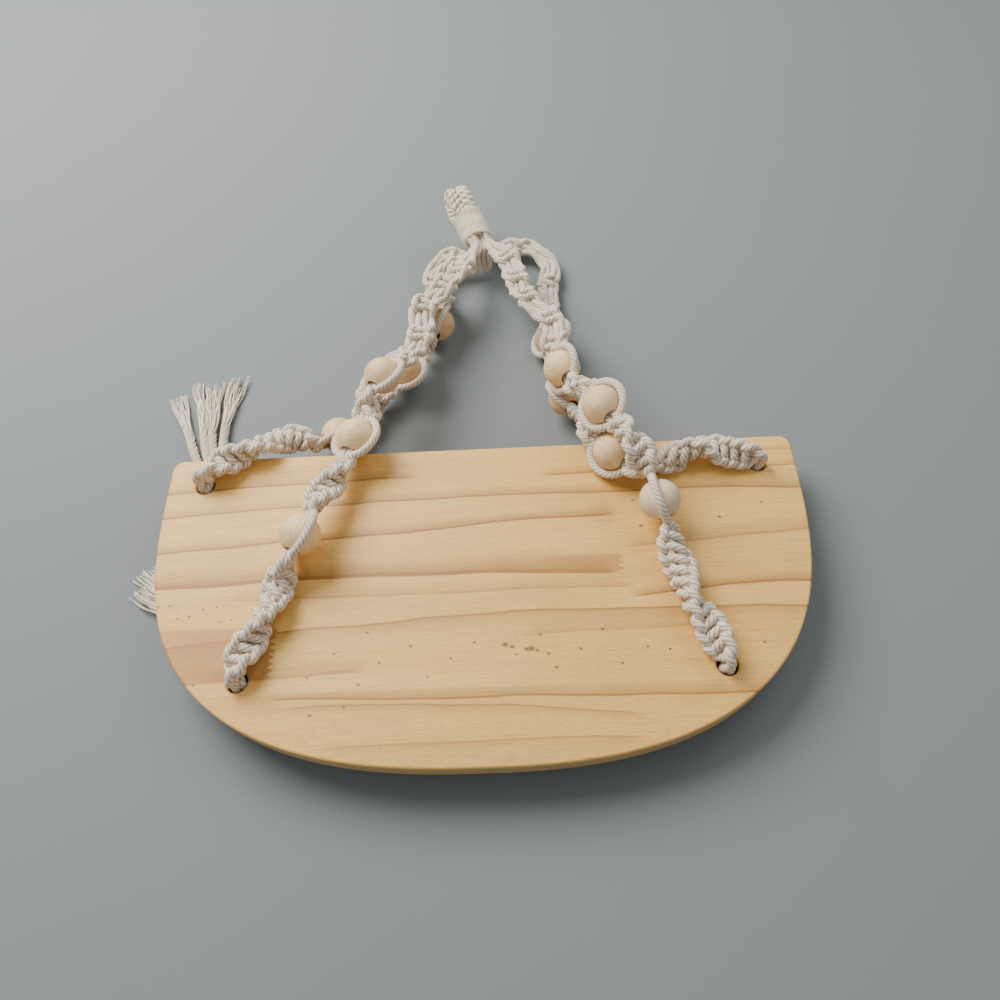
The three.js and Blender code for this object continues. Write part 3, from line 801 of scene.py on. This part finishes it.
def tail_parts(key, yarn, rng):
    """Four cords that run out from under the end knot and open into fans of fine yarns."""
    heading, whole, fan, bend, flare = TAILS[key]
    foot = np.array([*HOLES[key], 0.0])
    heading = math.radians(heading)
    forward = np.array([math.cos(heading), math.sin(heading), 0])
    across = np.array([forward[1], -forward[0], 0])
    parts = []
    for slot, reach, lift in TAIL_CORDS:
        length = whole * reach
        share = np.linspace(0.05, 1, TAIL_SAMPLES)
        side = fan * slot * (0.05 + 0.95 * share**1.6) + TAIL_SPACING * slot + bend * np.sin(np.pi * share)
        centre = foot + forward * (length * share)[:, None] + across * side[:, None]
        loose = smooth_step((share - 0.42) / 0.58)
        level = TAIL_LEVEL + lift * np.sin(np.pi * np.clip(share * 1.25, 0, 1))
        for k in range(YARNS):
            ring = math.sqrt((k + 0.5) / YARNS)
            angle = 2.4 * k - 2 * np.pi * share * length / TAIL_LAY * (1 - 0.5 * loose)
            opened = flare * rng.uniform(-1, 1) * (0.55 + 0.45 * rng.random())
            wave = 0.35 * loose * np.sin(share * length / rng.uniform(2.5, 5.0) + rng.uniform(0, 6))
            out = ring * 3.0 * np.cos(angle) * (1 - 0.75 * loose) + opened * loose**1.2 + wave
            up = level * (1 - 0.35 * loose) + ring * 2.7 * np.sin(angle) * (1 - 0.2 * loose)
            line = centre + across * out[:, None]
            line[:, 2] = np.maximum(up, yarn * (1.05 + 0.9 * (k % 3)))
            last = int(TAIL_SAMPLES * (1 - 0.17 * rng.random() ** 2))
            ends = np.ones(last)
            ends[-YARN_TIP:] = np.linspace(1, 0.45, YARN_TIP)
            parts.append(rod(line[:last], yarn * ends, 5))
    return parts


def end_knot_parts(key, cord):
    """The end knot: turns of cord wound about the tail's root, level on the table."""
    x, y = HOLES[key]
    turns = np.linspace(0, 2 * np.pi * KNOT_TURNS, 230)
    height = 2.4 + (UNDERSIDE - 5.2) * turns / turns[-1]
    radius = KNOT_RADIUS + KNOT_SWELL * np.sin(np.pi * np.clip(height / UNDERSIDE, 0, 1)) ** 0.7
    tilt = 1.1 * np.sin(turns + 0.8)
    line = columns(x + radius * np.cos(turns), y + radius * np.sin(turns), height + tilt * 0.6)
    line[:, 2] = np.clip(line[:, 2], cord, UNDERSIDE - 0.3 - cord)
    core_angle = np.linspace(0, 2 * np.pi, 25)
    core = columns(x + 3.4 * np.cos(core_angle), y + 3.4 * np.sin(core_angle), 7 + 0 * core_angle)
    upright = np.array([[x, y, 0.4], [x, y, 7.0], [x, y, UNDERSIDE - 0.5]])
    post = sweep(resampled(upright, 1.5), POST_RADIUS, relief=0.05)
    return [sweep(line, cord), sweep(core, cord * 1.6), post]


# The whipped neck and the hanging loop


def whipping_parts(binding):
    """Turns of thin cord laid side by side, leaning a little, the lowest ones drawn up between the arms."""
    low, high = np.array(NECK_LOW, float), np.array(NECK_HIGH, float)
    length = np.linalg.norm(high - low)
    angle = np.linspace(0, 2 * np.pi * WHIPPING_TURNS, WHIPPING_TURNS * 40)
    share = angle / angle[-1]
    from_front = (angle + np.pi / 2 + np.pi) % (2 * np.pi) - np.pi
    drawn = np.exp(-share * 6) * np.exp(-(from_front**2) / 0.8)
    lean = 0.7 * np.sin(angle) - 2.0 * np.exp(-3 * share) * np.cos(angle)
    along = binding + 1.0 + (length - 2 * binding - 1.4) * share + lean + 1.2 * drawn
    along = along + 0.16 * np.sin(7.3 * angle / WHIPPING_TURNS) * np.sin(angle * 1.7)
    radius = WHIPPING_RADIUS + 0.22 * np.sin(2.3 * angle / WHIPPING_TURNS + 1) - 1.5 * np.exp(-16 * share)
    line = neck_place(radius * np.cos(angle), along, -radius * np.sin(angle))
    sleeve = np.linspace(4.0, length - 0.6, 20)
    core = rod(neck_place(0 * sleeve, sleeve, 0 * sleeve), SLEEVE_RADIUS, 32)
    return [rod(line, binding * 0.98, 10), core]


def loop_parts(binding):
    """A band of plaited thin cords folded over at the neck's top: stitches that meet in a row of points."""
    rows = np.array(BAND_ROWS)
    fold = curve_through(columns(0 * rows[:, 0], rows[:, 0], rows[:, 1]), 16)
    at = lengths_along(fold)
    width = np.interp(at, at[::16], rows[:, 2])
    normal = unit(columns(0 * at, -np.gradient(fold[:, 2]), np.gradient(fold[:, 1])))
    cord = binding * BAND_CORD
    plait = {"sides": 12, "plies": 2, "lay": 9, "relief": 0.08}

    def band_place(stop, out, lift):
        local = rows_at(stop, at, fold) + unit(rows_at(stop, at, normal)) * lift[:, None]
        return neck_place(out * np.interp(stop, at, width) - BAND_SHIFT, local[:, 1], local[:, 2])

    parts = []
    across = np.linspace(0, 1, 16)
    for face in (1, -1):
        for side in (-1, 1):
            for i in range(int(at[-1] / STITCH) + 2):
                start = (i + (0.5 if side > 0 else 0)) * STITCH - 5
                out = side * (0.92 - 1.04 * across)
                stop = start + STITCH_REACH * across**1.1
                lift = face * (1.9 + 1.1 * np.sin(np.pi * across**0.8) - 2.6 * across**6)
                keep = (stop > 0) & (stop < at[-1])
                if keep.sum() > 3:
                    line = band_place(stop[keep], out[keep], lift[keep])
                    parts.append(sweep(softened(line, 1), cord, **plait))
    stops = np.arange(0.5, at[-1] - 0.5, 1.2)
    for side in (-1, 1):
        edge = side * (0.83 + 0.03 * np.sin(stops * 2 * np.pi / STITCH))
        parts.append(sweep(band_place(stops, edge, 0.5 * np.sin(stops)), cord, **plait))
    for out in np.linspace(-0.7, 0.7, 5):
        line = band_place(stops, out + 0 * stops, 0 * stops)
        parts.append(rod(line, cord * 1.2, 8))
    core = np.linspace(20, 30, 8)
    parts.append(rod(neck_place(0 * core, core, 0 * core), BAND_CORE, 24))
    return parts


# Shader maths


class Value:
    """A socket that Python expressions can work on."""

    def __init__(self, graph, socket):
        self.graph = graph
        self.socket = socket

    def __add__(self, other):
        return self.graph.math("ADD", self, other)

    def __sub__(self, other):
        return self.graph.math("SUBTRACT", self, other)

    def __rsub__(self, other):
        return self.graph.math("SUBTRACT", other, self)

    def __mul__(self, other):
        return self.graph.math("MULTIPLY", self, other)

    def __truediv__(self, other):
        return self.graph.math("DIVIDE", self, other)

    __radd__ = __add__
    __rmul__ = __mul__


class Graph:
    """The nodes of one material."""

    def __init__(self, name):
        self.material = bpy.data.materials.new(name)
        self.material.use_nodes = True
        self.nodes = self.material.node_tree.nodes
        self.links = self.material.node_tree.links
        self.shader = self.nodes["Principled BSDF"]

    def node(self, kind, settings=None, inputs=None, output=0):
        made = self.nodes.new(kind)
        for key, setting in (settings or {}).items():
            setattr(made, key, setting)
        for key, value in (inputs or {}).items():
            self.feed(made.inputs[key], value)
        return Value(self, made.outputs[output])

    def feed(self, socket, value):
        if isinstance(value, Value):
            self.links.new(value.socket, socket)
        elif hasattr(value, "__len__") and len(value) == 3 and socket.type == "RGBA":
            socket.default_value = (*value, 1)
        else:
            socket.default_value = value

    def math(self, operation, *values):
        return self.node("ShaderNodeMath", {"operation": operation}, dict(enumerate(values)))

    def clamped(self, value, low, high):
        """How far the value lies between low and high, from 0 to 1, eased."""
        return self.node(
            "ShaderNodeMapRange",
            {"interpolation_type": "SMOOTHSTEP"},
            {"Value": value, "From Min": low, "From Max": high},
        )

    def mix(self, share, first, second):
        return self.node("ShaderNodeMix", {"data_type": "RGBA"}, {0: share, 6: first, 7: second}, 2)

    def noise(self, vector, scale, detail, roughness=0.5):
        inputs = {"Vector": vector, "Scale": scale, "Detail": detail, "Roughness": roughness}
        return self.node("ShaderNodeTexNoise", {}, inputs, "Fac")

    def parts(self, vector):
        split = self.nodes.new("ShaderNodeSeparateXYZ")
        self.links.new(vector.socket, split.inputs[0])
        return [Value(self, output) for output in split.outputs]

    def join(self, x=0.0, y=0.0, z=0.0):
        return self.node("ShaderNodeCombineXYZ", {}, {0: x, 1: y, 2: z})

    def object_place(self):
        """Millimetres from the middle of the board's rear edge."""
        place = self.node("ShaderNodeTexCoord", output="Object")
        inputs = {0: place, 1: (1 / MM,) * 3, 2: tuple(-ORIGIN / MM)}
        return self.node("ShaderNodeVectorMath", {"operation": "MULTIPLY_ADD"}, inputs)

    def finish(self, colour, roughness, height=None, strength=0.0, distance=0.0):
        self.feed(self.shader.inputs["Base Color"], colour)
        self.feed(self.shader.inputs["Roughness"], roughness)
        if height is not None:
            inputs = {"Height": height, "Strength": strength, "Distance": distance * MM}
            self.feed(self.shader.inputs["Normal"], self.node("ShaderNodeBump", {}, inputs))
        return self.material


def colour_of(name):
    return tuple(getattr(bpy.context.scene.shelf_colours, name))


def shaded(colour, factor):
    return tuple(channel * factor for channel in colour)


def cotton_material(name, colour, fibres=1.0):
    """Twisted cotton: painted shade between the plies, with fine fibres and slow changes of tone."""
    graph = Graph(name)
    pattern = graph.node("ShaderNodeUVMap", {"uv_map": "cord"})
    across, along, _ = graph.parts(pattern)
    place = graph.object_place()
    between = graph.math("ABSOLUTE", graph.math("FRACT", across + 0.5) - 0.5) * 2
    groove = graph.clamped(between, 0.58, 0.95)
    thread = graph.noise(graph.join(across * 7.0, along * 0.9, 0.0), 1.0, 2.0)
    tone = graph.noise(place, 0.06, 2.0)
    fuzz = graph.noise(place, 2.2, 3.0, 0.6)
    base = graph.mix(graph.clamped(tone, 0.35, 0.7), shaded(colour, 0.9), shaded(colour, 1.06))
    base = graph.mix(graph.clamped(thread, 0.35, 0.7) * 0.4, base, shaded(colour, 0.68))
    # Painted shade: the grooves between the plies are darkened towards a deep brown, for the shade that falls
    # in them
    painted_groove_shade = tuple(channel * factor for channel, factor in zip(colour, (0.36, 0.3, 0.24)))
    base = graph.mix(groove * 0.85, base, painted_groove_shade)
    height = thread * 0.5 + fuzz * 0.35 - groove * 0.8
    graph.shader.inputs["Sheen Weight"].default_value = 0.35
    graph.shader.inputs["Sheen Roughness"].default_value = 0.5
    return graph.finish(base, 0.92, height, 0.55 * fibres, 0.35)


def bead_material(name, tint, patch):
    """Raw turned wood with fine lines along one direction and a warmer patch."""
    graph = Graph(name)
    place = graph.node("ShaderNodeAttribute", {"attribute_name": "bead_axis"}, output="Vector")
    x, y, z = graph.parts(place)
    wobble = graph.noise(place, 0.11, 2.0)
    lines = graph.noise(graph.join(x * 1.5 + wobble * 4.0, y * 0.12, z * 0.12), 1.0, 3.0, 0.6)
    bands = graph.math("SINE", x * 0.75 + wobble * 6.0)
    warm = graph.clamped(graph.noise(graph.join(x * 0.09, y * 0.05, z * 0.05), 1.0, 1.0), 0.5, 0.72)
    base = graph.mix(graph.clamped(lines, 0.3, 0.72), shaded(tint, 0.74), shaded(tint, 1.1))
    base = graph.mix(graph.clamped(bands, 0.3, 1.0) * 0.25, base, shaded(tint, 0.8))
    base = graph.mix(warm * 0.6, base, patch)
    return graph.finish(base, 0.5 + lines * 0.12, lines, 0.15, 0.1)


def board_material():
    """Finger-jointed pine: brown lines with a soft and a sharp side, pores, specks and toothed joints, with
    painted shade on its edges.
    """
    pine, late = colour_of("pine"), colour_of("latewood")
    graph = Graph("pine_board")
    place = graph.object_place()
    x, y, z = graph.parts(place)
    slow = graph.noise(graph.join(x * 0.012, y * 0.03, z * 0.05), 1.0, 2.0) - 0.5
    grain = graph.noise(graph.join(x * 0.03, y * 0.9, z * 0.9), 1.0, 4.0, 0.6)
    fine = graph.noise(graph.join(x * 0.16, y * 3.4, z * 3.4), 1.0, 2.0, 0.5)
    broad = graph.noise(graph.join(x * 0.008, y * 0.06, z * 0.06), 1.0, 2.0)
    base = graph.mix(graph.clamped(broad, 0.35, 0.68), pine, shaded(pine, 0.9))
    base = graph.mix(graph.clamped(grain, 0.4, 0.75) * 0.28, base, late)
    lines = 0.0
    for middle, slope, bend, first, last, width, strength in GRAIN:
        off = y - (x * slope + x * x * bend + middle) - slow * 7.0
        if width < 0:
            off, width = off * -1.0, -width
        within = graph.clamped(x, first, first + 14.0) * (1.0 - graph.clamped(x, last - 14.0, last))
        ramp = (1.0 - graph.clamped(off, 0.0, width)) * 0.6
        ramp = ramp + (1.0 - graph.clamped(off, 0.0, width * 0.2)) * 0.75
        lines = graph.clamped(off, -0.45, 0.35) * ramp * within * strength + lines
    base = graph.mix(graph.math("MINIMUM", lines * 1.12, 0.95), base, late)
    for edge, low, high, fade, strength in JOINTS:
        tooth = graph.math("ABSOLUTE", graph.math("FRACT", y / TOOTH_PITCH) - 0.5) * (2 * TOOTH_DEPTH) + edge
        near = graph.clamped(y, low, low + 5.0) * (1.0 - graph.clamped(y, high - 3.0, high))
        zone = graph.clamped(tooth - x, -0.25, 0.25) * near
        zone = zone * (1.0 - graph.clamped(edge - x, fade * 0.3, fade))
        rim = (1.0 - graph.clamped(graph.math("ABSOLUTE", tooth - x), 0.1, 0.7)) * near
        base = graph.mix(zone * strength * 1.25, base, (0.44, 0.18, 0.05))
        base = graph.mix(rim * 1.6 * strength, base, shaded(late, 0.6))
    pores = graph.noise(graph.join(x * 0.22, y * 1.9, z * 1.9), 1.0, 1.0, 0.4)
    pores = graph.clamped(pores, 0.67, 0.76)
    base = graph.mix(pores * 0.6, base, shaded(late, 0.62))
    base = graph.mix(graph.clamped(fine, 0.42, 0.78) * 0.38, base, late)
    level = graph.join(x * SPECK_SQUASH, y, 0.0)
    marks = 0.0
    for reach, (spot_x, spot_y) in ((reach, spot) for reach, spots in SPECKS.items() for spot in spots):
        ends = {0: level, 1: (spot_x * SPECK_SQUASH, spot_y, 0)}
        away = graph.node("ShaderNodeVectorMath", {"operation": "DISTANCE"}, ends, 1)
        marks = graph.math("MAXIMUM", 1.0 - graph.clamped(away, reach * 0.35, reach), marks)
    top = graph.clamped(z, BOARD_TOP - 2.0, BOARD_TOP - 0.5)
    base = graph.mix(marks * top * 0.78, base, (0.10, 0.045, 0.02))
    # Painted shade: below the top face, the board's edges and underside are greyed and darkened
    base = graph.mix((1.0 - top) * 0.5, base, (0.33, 0.25, 0.15))
    return graph.finish(base, 0.46 + grain * 0.12, grain * 0.6 + fine * 0.4 - lines * 0.5, 0.14, 0.15)


def floor_material():
    graph = Graph("pale_floor")
    place = graph.object_place()
    tone = graph.noise(place, 0.004, 2.0)
    colour = colour_of("floor")
    return graph.finish(graph.mix(tone, shaded(colour, 0.98), shaded(colour, 1.02)), 0.85)


# Operators, one for each kind of piece


class SHELF_OT_board(bpy.types.Operator):
    """Model the board with eased edges and give it its pine"""

    bl_idname = "shelf.board"
    bl_label = "Board"

    def execute(self, context):
        dress(make_board(), board_material(), "board")
        return {"FINISHED"}


class SHELF_OT_arms(bpy.types.Operator):
    """Lay the cords of the four knotted arms and thread their beads"""

    bl_idname = "shelf.arms"
    bl_label = "Arms and beads"

    def execute(self, context):
        cord = context.scene.shelf_sizes.cord / MM
        cotton = cotton_material("cotton_cord", colour_of("cotton"))
        woods = {name: bead_material(f"bead_{name}", *tints) for name, tints in BEAD_TINTS.items()}
        woods["plain"] = bead_material("bead_plain", colour_of("bead"), (0.84, 0.56, 0.30))
        master = make_bead()
        for key in ARMS:
            arm, parts = arm_cords(key, cord)
            dress(mesh_object(f"cords_{key}", parts), cotton, f"arm_{key}")
            for i, bead in enumerate(arm.beads):
                wood, turn = BEAD_WOODS[key][i]
                made = thread_bead(master, f"wood_bead_{key}_{i + 1}", bead["centre"], bead["along"], turn)
                dress(made, woods[wood], f"bead_{key}_{i + 1}")
        bpy.data.objects.remove(master)
        return {"FINISHED"}


class SHELF_OT_tassels(bpy.types.Operator):
    """Wind the end knots under the board and fray their tails"""

    bl_idname = "shelf.tassels"
    bl_label = "End knots and tails"

    def execute(self, context):
        sizes = context.scene.shelf_sizes
        cotton = bpy.data.materials["cotton_cord"]
        rng = random.Random(11)
        for key in TAILS:
            parts = end_knot_parts(key, sizes.cord / MM) + tail_parts(key, sizes.yarn / MM, rng)
            dress(mesh_object(f"tails_{key}", parts), cotton, f"tassel_{key}")
        return {"FINISHED"}


class SHELF_OT_neck(bpy.types.Operator):
    """Wind the whipping and plait the hanging loop"""

    bl_idname = "shelf.neck"
    bl_label = "Whipped neck"

    def execute(self, context):
        binding = context.scene.shelf_sizes.binding / MM
        fine = cotton_material("fine_cotton", colour_of("fine_cotton"), 0.6)
        dress(mesh_object("binding", whipping_parts(binding)), fine, "whipping")
        dress(mesh_object("plaited_loop", loop_parts(binding)), fine, "hanging_loop")
        return {"FINISHED"}


class SHELF_OT_stage(bpy.types.Operator):
    """Set the floor, the soft light and the camera"""

    bl_idname = "shelf.stage"
    bl_label = "Stage"

    def execute(self, context):
        bpy.ops.object.select_all(action="DESELECT")
        bpy.ops.mesh.primitive_plane_add(size=12)
        floor = context.object
        floor.name = "floor"
        floor.data.materials.append(floor_material())
        world = bpy.data.worlds.new("room")
        world.use_nodes = True
        background = world.node_tree.nodes["Background"].inputs
        background[0].default_value = ROOM_COLOUR
        background[1].default_value = ROOM_STRENGTH
        context.scene.world = world
        for name, spot, size, power, colour in LIGHTS:
            light = bpy.data.lights.new(name, "AREA")
            light.shape = "DISK"
            light.size = size
            light.energy = power
            light.color = colour
            holder = bpy.data.objects.new(name, light)
            holder.location = spot
            aim = Vector((0.0, 0.0, 0.02)) - Vector(spot)
            holder.rotation_euler = aim.to_track_quat("-Z", "Y").to_euler()
            link(holder)
        set_camera(context.scene)
        return {"FINISHED"}


def set_camera(scene):
    lens = bpy.data.cameras.new("camera")
    lens.sensor_width = CAMERA["sensor"]
    lens.lens = CAMERA["sensor"] * CAMERA["focal"] / CAMERA["picture"]
    lens.clip_start = 0.01
    camera = bpy.data.objects.new("camera", lens)
    right = Vector(CAMERA["right"]).normalized()
    up = -Vector(CAMERA["down"]).normalized()
    back = right.cross(up)
    turn = Matrix((right, up, back)).transposed().to_4x4()
    camera.matrix_world = Matrix.Translation(Vector(to_frame(CAMERA["place"]))) @ turn
    link(camera)
    scene.camera = camera


class SHELF_PT_panel(bpy.types.Panel):
    """The shelf's pieces, sizes and colours"""

    bl_idname = "SHELF_PT_panel"
    bl_label = "Macrame shelf"
    bl_space_type = "VIEW_3D"
    bl_region_type = "UI"
    bl_category = "Shelf"

    def draw(self, context):
        for group in (context.scene.shelf_sizes, context.scene.shelf_colours):
            for key in group.__annotations__:
                self.layout.prop(group, key)
        for step in STEPS:
            self.layout.operator(f"shelf.{step}")


STEPS = ("stage", "board", "arms", "tassels", "neck")
CLASSES = (
    ShelfSizes,
    ShelfColours,
    SHELF_OT_board,
    SHELF_OT_arms,
    SHELF_OT_tassels,
    SHELF_OT_neck,
    SHELF_OT_stage,
    SHELF_PT_panel,
)


def register():
    for cls in CLASSES:
        bpy.utils.register_class(cls)
    bpy.types.Scene.shelf_sizes = PointerProperty(type=ShelfSizes)
    bpy.types.Scene.shelf_colours = PointerProperty(type=ShelfColours)


def unregister():
    del bpy.types.Scene.shelf_colours
    del bpy.types.Scene.shelf_sizes
    for cls in reversed(CLASSES):
        bpy.utils.unregister_class(cls)


def main():
    register()
    for step in STEPS:
        getattr(bpy.ops.shelf, step)()


if __name__ == "__main__":
    main()
